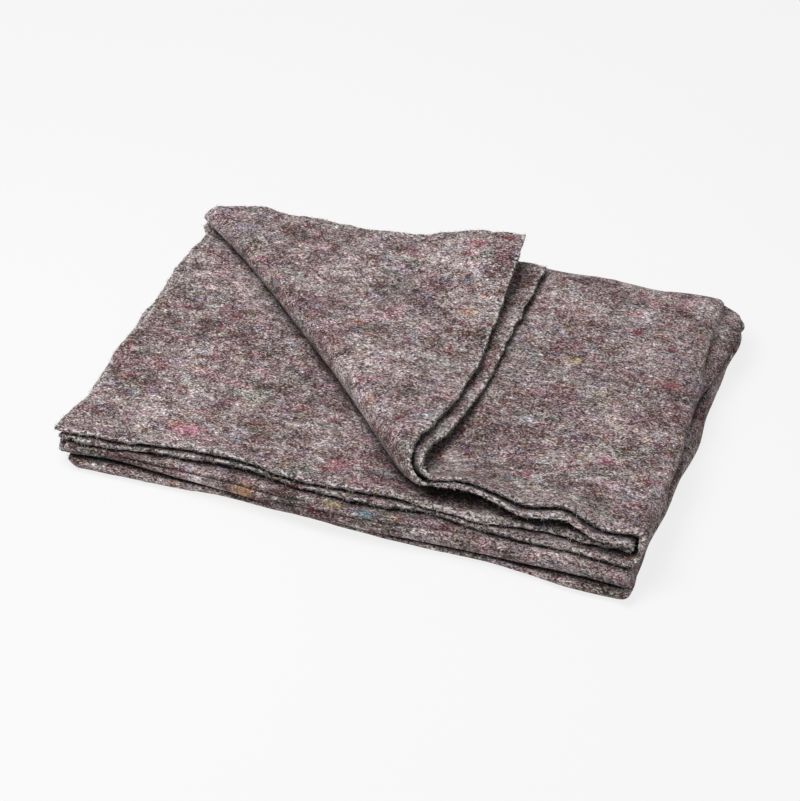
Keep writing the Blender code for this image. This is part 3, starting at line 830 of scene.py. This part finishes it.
    def plan_to_cloth(self, spot, ply):
        """The place on the flat cloth of a spot of a top ply before it is rolled."""
        middle = 0.0 if ply == "under" else self.pitch
        right = bend_span(self.second_line, self.second_axis, middle, SLIP_SECOND)
        back = bend_span(self.along / 4, self.third_axis, middle, SLIP_THIRD)
        first = bend_span(self.along / 2, self.first_axis, 0.0, 1.0)
        across = spot[0] - RIGHT_AXIS + right[0]
        from_fold = back[1] + BACK_AXIS - spot[1]
        along = first[0] - from_fold if ply == "under" else first[1] + from_fold
        return np.array((across, along))

    def closed_sheet(self):
        """Both faces of the felt, folded, and the cut edge between them.

        The result is the points, the faces, and how near each point is to a cut edge and to
        the bottom of a crease.
        """
        flat = self.flat_mesh()
        flat.verts.index_update()
        places = np.array([vert.co[:2] for vert in flat.verts])
        across, along = places.T
        count = len(places)
        points = np.concatenate((self.fold(across, along, 1), self.fold(across, along, -1)))
        faces = []
        for face in flat.faces:
            corners = [vert.index for vert in face.verts]
            faces.append(corners[::-1])
            faces.append([corner + count for corner in corners])
        for edge in flat.edges:
            if edge.is_boundary:
                loop = edge.link_loops[0]
                here, there = loop.vert.index, loop.link_loop_next.vert.index
                faces.append([here, there + count, here + count])
                faces.append([here, there, there + count])
        flat.free()
        cut = np.tile(1 - ramp(self.inside(across, along), EDGE_ROWS[1], EDGE_ROWS[-1]), 2)
        deepest = max(depth for *_, depth in GROOVES)
        return points, faces, cut, np.tile(self.grooves(across, along) / deepest, 2)


# ---------------------------------------------------------------------------------------------
# Materials
# ---------------------------------------------------------------------------------------------

class Wire:
    """A socket whose value takes Python's operators, each of which adds a Math node."""

    def __init__(self, nodes, socket):
        self.nodes, self.socket = nodes, socket

    def math(self, operation, *values, **settings):
        """A Math node on values or wires."""
        return self.nodes.add("ShaderNodeMath", {"operation": operation, **settings},
                              dict(enumerate(values)))

    def __add__(self, other):
        return self.math("ADD", self, other)

    def __sub__(self, other):
        return self.math("SUBTRACT", self, other)

    def __rsub__(self, other):
        return self.math("SUBTRACT", other, self)

    def __mul__(self, other):
        return self.math("MULTIPLY", self, other)

    __radd__, __rmul__ = __add__, __mul__

    def limited(self):
        """The value kept between 0 and 1."""
        return self.math("ADD", self, 0.0, use_clamp=True)

    def step(self, low, high):
        """0 below low, 1 above high, smooth between."""
        return self.nodes.add("ShaderNodeMapRange", {"interpolation_type": "SMOOTHSTEP"},
                              {"Value": self, "From Min": low, "From Max": high})


class Nodes:
    """The nodes of one material."""

    def __init__(self, name):
        self.material = bpy.data.materials.new(name)
        self.material.use_nodes = True
        self.tree = self.material.node_tree
        self.shader = self.tree.nodes["Principled BSDF"]

    def fill(self, node, inputs):
        """Set or link a node's sockets, named by their name, identifier or place."""
        for key, value in inputs.items():
            socket = node.inputs[key] if isinstance(key, int) else next(
                socket for socket in node.inputs if key in (socket.identifier, socket.name))
            if isinstance(value, Wire):
                self.tree.links.new(value.socket, socket)
            else:
                socket.default_value = value

    def add(self, kind, settings, inputs, output=0):
        """Add a node: its type, its settings, its sockets' values or links, and its output."""
        node = self.tree.nodes.new(kind)
        for name, value in settings.items():
            setattr(node, name, value)
        self.fill(node, inputs)
        socket = node.outputs[output] if isinstance(output, int) else next(
            socket for socket in node.outputs if output in (socket.identifier, socket.name))
        return Wire(self, socket)

    def mix(self, share, start, end):
        """A colour between two."""
        return self.add("ShaderNodeMix", {"data_type": "RGBA"},
                        {"Factor_Float": share, "A_Color": colour(start), "B_Color": colour(end)},
                        "Result_Color")

    def noise(self, place, size, detail=2.0, rough=0.5, output="Fac"):
        """Noise with hills about size apart."""
        return self.add("ShaderNodeTexNoise", {"noise_dimensions": "3D"},
                        {"Vector": place, "Scale": 1 / size, "Detail": detail,
                         "Roughness": rough}, output)

    def moved(self, place, offset=(0.0, 0.0, 0.0), turn=0.0, scale=(1.0, 1.0, 1.0)):
        """A place turned about Z, stretched and offset."""
        return self.add("ShaderNodeMapping", {"vector_type": "POINT"},
                        {"Vector": place, "Location": offset, "Rotation": (0.0, 0.0, turn),
                         "Scale": scale})


def colour(value):
    """A colour with its alpha, or the wire that carries one."""
    return value if isinstance(value, Wire) else (*value[:3], 1.0)


def layer_offset(pattern, at):
    """Offset of one layer of a pattern."""
    return tuple(first + step * at for first, step in zip(*LAYER_OFFSETS[pattern]))


def felt_material(looks):
    """Needled felt: strands of light and dark fibre, coloured wisps, pale flecks, cut edges, and
    shade painted near black into the nooks and creases.
    """
    nodes = Nodes("recycled felt")
    place = nodes.add("ShaderNodeTexCoord", {}, {}, "Object")
    drift = nodes.noise(place, DRIFT_WIDTH, detail=1.0, output="Color")
    drift = nodes.add("ShaderNodeVectorMath", {"operation": "MULTIPLY_ADD"},
                      {0: drift, 1: (DRIFT_MOVE,) * 3, 2: place})

    tone, relief = looks.tone, 0.0
    for at, (width, stretch, turn, size) in enumerate(TONES):
        spot = nodes.moved(drift, layer_offset("tones", at), turn, (1 / stretch, 1.0, 1.0))
        hills_of_tone = nodes.noise(spot, width, detail=1.0, rough=0.6) - 0.5
        tone = tone + hills_of_tone * (size * TONE_GAIN)
        relief = relief + hills_of_tone * size
    bright = nodes.add("ShaderNodeMath", {"operation": "POWER"},
                       {0: tone.limited(), 1: TONE_POWER})

    felt = tuple(looks.body)
    for at, (_, tint, width, share, strength) in enumerate(WISPS):
        spot = nodes.moved(drift, layer_offset("wisps", at), WISP_TURNS[at % len(WISP_TURNS)],
                           WISP_NARROW)
        wisp = nodes.noise(spot, width, detail=1.0, rough=0.45)
        starts, full = (level - share * WISP_SPREAD for level in WISP_LEVELS)
        felt = nodes.mix(wisp.step(starts, full) * strength, felt, tint)
    even = nodes.add("ShaderNodeVectorMath", {"operation": "ADD"},
                     {0: felt, 1: bright - TONE_MIDDLE})
    rich = nodes.add("ShaderNodeVectorMath", {"operation": "SCALE"},
                     {"Vector": felt, "Scale": bright * (1 / TONE_MIDDLE)})
    felt = nodes.mix(looks.rich, even, rich)
    felt = nodes.add("ShaderNodeVectorMath", {"operation": "MAXIMUM"},
                     {0: felt, 1: tuple(looks.dark)})

    cut = nodes.add("ShaderNodeAttribute", {"attribute_name": "cut"}, {}, "Fac")
    fibres = nodes.noise(nodes.moved(place, scale=EDGE_FIBRE_SCALE), EDGE_FIBRE_WIDTH,
                         detail=2.0, rough=0.6)
    felt = nodes.mix((1 - fibres.step(*EDGE_DARK_LEVELS)) * cut * EDGE_DARK_STRENGTH, felt,
                     looks.dark)
    felt = nodes.mix(fibres.step(*EDGE_PALE_LEVELS) * cut * EDGE_PALE_STRENGTH, felt, looks.lint)

    for at, (_, tint, width, share, beside) in enumerate(BITS):
        spot = nodes.moved(drift, layer_offset("bits", at), BIT_TURNS[0] + BIT_TURNS[1] * at,
                           BIT_NARROW)
        bit = nodes.noise(spot, width, detail=1.0) + cut * (beside - share)
        starts, full = (level - share for level in BIT_LEVELS)
        felt = nodes.mix(bit.step(starts, full) * BIT_STRENGTH, felt, tint)

    narrow = (1 / TUFT_STRETCH, 1.0, 1.0)
    tufted = nodes.moved(place, scale=narrow)
    strand = nodes.noise(nodes.moved(drift, scale=TUFT_STRAND_SCALE), TUFT_STRAND_WIDTH) - 0.5
    shade = bright * TUFT_SHADE_GAIN + TUFT_SHADE_LEAST
    for _, tint, middle, size in TUFTS:
        centre = tuple(MILLIMETRE * at * share for at, share in zip(middle, narrow))
        far = nodes.add("ShaderNodeVectorMath", {"operation": "DISTANCE"},
                        {0: tufted, 1: centre}, "Value")
        tuft = strand * TUFT_RAGGED + 1.0 - far * (1 / (MILLIMETRE * size))
        shaded = nodes.add("ShaderNodeVectorMath", {"operation": "SCALE"},
                           {"Vector": tint, "Scale": shade})
        felt = nodes.mix(tuft.step(*TUFT_LEVELS) * TUFT_STRENGTH, felt, shaded)

    for kind, offset, turn, scale, width, levels, strength in FLECKS:
        fleck = nodes.noise(nodes.moved(drift, offset, turn, scale), width, detail=1.0)
        felt = nodes.mix(fleck.step(*levels) * strength, felt, getattr(looks, kind))
    # Painted shade: the felt turns near black where it is closed in between plies and along the
    # bottoms of the creases
    nook = nodes.add("ShaderNodeAttribute", {"attribute_name": "nook"}, {}, "Fac")
    felt = nodes.mix(nook * looks.nook_shade, felt, NOOK_COLOUR)

    bumps = nodes.add("ShaderNodeBump", {}, {"Strength": 0.8, "Distance": 0.0022,
                                             "Height": relief + 0.5})
    nodes.fill(nodes.shader, {"Base Color": felt, "Normal": bumps, "Roughness": 0.96,
                              "Specular IOR Level": 0.15, "Sheen Weight": 0.08,
                              "Sheen Roughness": 0.5})
    return nodes.material


def lint_material(name, tint):
    """Plain fibre of one colour."""
    nodes = Nodes(name)
    nodes.fill(nodes.shader, {"Base Color": (*tint, 1.0), "Roughness": 0.85,
                              "Specular IOR Level": 0.2})
    return nodes.material


def floor_material(stage):
    """Matt pale floor, softly lit from below."""
    nodes = Nodes("pale floor")
    nodes.fill(nodes.shader, {"Base Color": (*stage.floor, 1.0), "Roughness": 1.0,
                              "Specular IOR Level": 0.0,
                              "Emission Color": (1.0, 1.0, 1.0, 1.0),
                              "Emission Strength": stage.glow})
    return nodes.material


# ---------------------------------------------------------------------------------------------
# Pieces
# ---------------------------------------------------------------------------------------------

def mesh_object(context, name, points, faces):
    """An object of a new mesh, smooth shaded."""
    mesh = bpy.data.meshes.new(name)
    mesh.from_pydata(points, [], faces)
    mesh.shade_smooth()
    item = bpy.data.objects.new(name, mesh)
    context.scene.collection.objects.link(item)
    return item


def read(items, name, width=1, kind=float):
    """One property of all items of a collection, as an array."""
    values = np.empty(len(items) * width, dtype=kind)
    items.foreach_get(name, values)
    return values.reshape(-1, width) if width > 1 else values


def nooks(mesh):
    """How closed in each point of a mesh is, from 0 in the open to 1 deep between plies: the share
    of painted shade that the felt is given there.
    """
    points = read(mesh.vertices, "co", 3)
    normals = read(mesh.vertex_normals, "vector", 3)
    corners = read(mesh.polygons, "vertices", 3, np.int32)
    tree = BVHTree.FromPolygons(points.tolist(), corners.tolist())
    turns = np.arange(NOOK_LOOKS) * math.pi * (3 - math.sqrt(5))
    rise = 1 - (2 * np.arange(NOOK_LOOKS) + 1) / NOOK_LOOKS
    level = np.sqrt(1 - rise ** 2)
    looks = np.stack((level * np.cos(turns), level * np.sin(turns), rise), 1)
    starts = points + normals * NOOK_CLEARANCE
    closed = np.zeros(len(points))
    for look in looks:
        ways = (normals + look).tolist()
        found = [tree.ray_cast(start, way, NOOK_REACH)[3]
                 for start, way in zip(starts.tolist(), ways)]
        closed += [0.0 if far is None else 1 - far / NOOK_REACH for far in found]
    return ramp(closed / NOOK_LOOKS, NOOK_STARTS, NOOK_FULL)


def fibre_ribbons(roots, normals, length, width, rng):
    """Thin bent ribbons that grow from roots, as points and faces."""
    count = len(roots)
    lean = rng.normal(size=(count, 3))
    lean -= normals * np.sum(lean * normals, 1, keepdims=True)
    lean /= np.linalg.norm(lean, axis=1, keepdims=True)
    side = np.cross(normals, lean)
    long = length * rng.uniform(*FIBRE_LENGTHS, (count, 1))
    wide = width * rng.uniform(*FIBRE_WIDTHS, (count, 1))
    rise = rng.uniform(*FIBRE_RISE, (count, 1))
    curl = rng.uniform(*FIBRE_CURL, (count, 1))
    rows = []
    for step in range(FIBRE_STEPS + 1):
        part = step / FIBRE_STEPS
        centre = (roots + long * part * lean + long * curl * part ** 2 * side
                  + long * rise * (part - FIBRE_DROOP * part ** 2) * normals)
        half = wide / 2 * (1 - FIBRE_TAPER * part)
        rows.extend((centre - side * half, centre + side * half))
    points = np.stack(rows, 1).reshape(-1, 3)
    start = np.arange(count)[:, None] * 2 * (FIBRE_STEPS + 1)
    faces = [start + 2 * step + np.array((0, 1, 3, 2)) for step in range(FIBRE_STEPS)]
    return points, np.stack(faces, 1).reshape(-1, 4)


class BLANKET_OT_cloth(bpy.types.Operator):
    """Add the folded felt cloth"""

    bl_idname = "blanket.cloth"
    bl_label = "Folded Cloth"

    def execute(self, context):
        sizes = context.scene.blanket_cloth
        points, faces, cut, creased = FoldedCloth(sizes).closed_sheet()
        cloth = mesh_object(context, "folded_cloth", points, faces)
        # The nook share, the larger of a crease's depth and how closed in a point is, sets the
        # felt's painted shade
        for name, values in (("cut", cut), ("nook", np.maximum(creased, nooks(cloth.data)))):
            share = cloth.data.attributes.new(name, "FLOAT", "POINT")
            share.data.foreach_set("value", values)
        cloth.data.materials.append(felt_material(context.scene.blanket_felt))
        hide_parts(NODE)
        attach(cloth, "root")
        return {"FINISHED"}


class BLANKET_OT_lint(bpy.types.Operator):
    """Add stray fibres to the cloth's faces and cut edges"""

    bl_idname = "blanket.lint"
    bl_label = "Stray Fibres"

    def execute(self, context):
        looks = context.scene.blanket_felt
        cloth = bpy.data.objects.get("folded_cloth")
        if cloth is None:
            raise RuntimeError("the cloth is added before its lint")
        rng = np.random.default_rng(FIBRE_SEED)
        roots, normals = self.roots(cloth.data, looks, rng)
        ribbons, faces = fibre_ribbons(roots, normals, looks.fuzz, looks.thread, rng)
        ribbons[:, 2] = np.maximum(ribbons[:, 2], 0.0)
        lint = mesh_object(context, "lint", ribbons, faces.tolist())
        for name, _, tint in FIBRE_KINDS:
            lint.data.materials.append(lint_material(name, tint))
        shares = np.array([share for _, share, _ in FIBRE_KINDS])
        kinds = rng.choice(len(FIBRE_KINDS), len(roots), p=shares / shares.sum())
        lint.data.polygons.foreach_set("material_index", np.repeat(kinds, FIBRE_STEPS))
        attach(lint, "root")
        return {"FINISHED"}

    @staticmethod
    def roots(mesh, looks, rng):
        """Where fibres stand on the faces and the cut edges, and the normals there."""
        points = read(mesh.vertices, "co", 3)
        corners = read(mesh.polygons, "vertices", 3, np.int32)
        normal = read(mesh.polygons, "normal", 3)
        area = read(mesh.polygons, "area")
        at_edge = read(mesh.attributes["cut"].data, "value")[corners].mean(1)
        roots, normals = [], []
        for number, weight in ((looks.stray, area), (looks.frayed, area * at_edge ** 2)):
            face = rng.choice(len(area), number, p=weight / weight.sum())
            share = rng.dirichlet((1, 1, 1), number)
            roots.append(np.einsum("ij,ijk->ik", share, points[corners[face]]))
            normals.append(normal[face])
        roots, normals = np.concatenate(roots), np.concatenate(normals)
        shown = roots[:, 2] > looks.fuzz / 2
        return roots[shown], normals[shown]


class BLANKET_OT_stage(bpy.types.Operator):
    """Add the floor, the lights and the camera"""

    bl_idname = "blanket.stage"
    bl_label = "Stage"

    def execute(self, context):
        scene = context.scene
        stage = scene.blanket_stage
        corners = [(right * FLOOR_HALF, back * FLOOR_HALF, 0)
                   for right, back in ((-1, -1), (1, -1), (1, 1), (-1, 1))]
        floor = mesh_object(context, "floor", corners, [(0, 1, 2, 3)])
        floor.location.z = -FLOOR_DROP
        floor.data.materials.append(floor_material(stage))
        world = bpy.data.worlds.new("even fill")
        world.use_nodes = True
        fill = world.node_tree.nodes["Background"].inputs
        fill["Color"].default_value = (1, 1, 1, 1)
        fill["Strength"].default_value = stage.sky
        scene.world = world
        self.light(context, "key", KEY_PLACE, KEY_SIZE, stage.key)
        self.camera(context, stage)
        scene.view_settings.view_transform = "Standard"
        return {"FINISHED"}

    @staticmethod
    def light(context, name, place, size, power):
        """A large square light that faces the blanket."""
        lamp = bpy.data.lights.new(name, "AREA")
        lamp.size, lamp.energy = size, power
        item = bpy.data.objects.new(name, lamp)
        item.location = place
        item.rotation_euler = (-Vector(place)).to_track_quat("-Z", "Y").to_euler()
        context.scene.collection.objects.link(item)

    @staticmethod
    def camera(context, stage):
        """The camera, turned to the right of the front and tilted down."""
        lens = bpy.data.cameras.new("camera")
        lens.sensor_fit, lens.sensor_width, lens.lens = "HORIZONTAL", FILM_WIDTH, stage.lens
        item = bpy.data.objects.new("camera", lens)
        forward = Vector((-math.sin(stage.turn) * math.cos(stage.tilt),
                          math.cos(stage.turn) * math.cos(stage.tilt), -math.sin(stage.tilt)))
        right = Vector((math.cos(stage.turn), math.sin(stage.turn), 0))
        up = right.cross(forward)
        place = Matrix((right, up, -forward)).transposed().to_4x4()
        place.translation = (CAMERA_ASIDE * right + CAMERA_ABOVE * up - stage.distance * forward
                             - Vector((*MIDDLE, 0)))
        item.matrix_world = place
        context.scene.collection.objects.link(item)
        context.scene.camera = item


class BLANKET_PT_panel(bpy.types.Panel):
    """The blanket's operators and sizes"""

    bl_idname = "BLANKET_PT_panel"
    bl_label = "Moving Blanket"
    bl_space_type = "VIEW_3D"
    bl_region_type = "UI"
    bl_category = "Blanket"

    def draw(self, context):
        for group, operator in GROUPS.items():
            settings = getattr(context.scene, group)
            box = self.layout.box()
            for name in settings.bl_rna.properties.keys():
                if name not in ("rna_type", "name"):
                    box.prop(settings, name)
            box.operator(operator)


GROUPS = {"blanket_cloth": "blanket.cloth", "blanket_felt": "blanket.lint",
          "blanket_stage": "blanket.stage"}
CLASSES = (ClothSizes, FeltLooks, StageSettings, BLANKET_OT_cloth, BLANKET_OT_lint,
           BLANKET_OT_stage, BLANKET_PT_panel)


def register():
    for item in CLASSES:
        bpy.utils.register_class(item)
    for name, group in zip(GROUPS, CLASSES):
        setattr(bpy.types.Scene, name, PointerProperty(type=group))


def unregister():
    for name in GROUPS:
        delattr(bpy.types.Scene, name)
    for item in reversed(CLASSES):
        bpy.utils.unregister_class(item)


def main():
    register()
    bpy.ops.blanket.cloth()
    bpy.ops.blanket.lint()
    bpy.ops.blanket.stage()


if __name__ == "__main__":
    main()
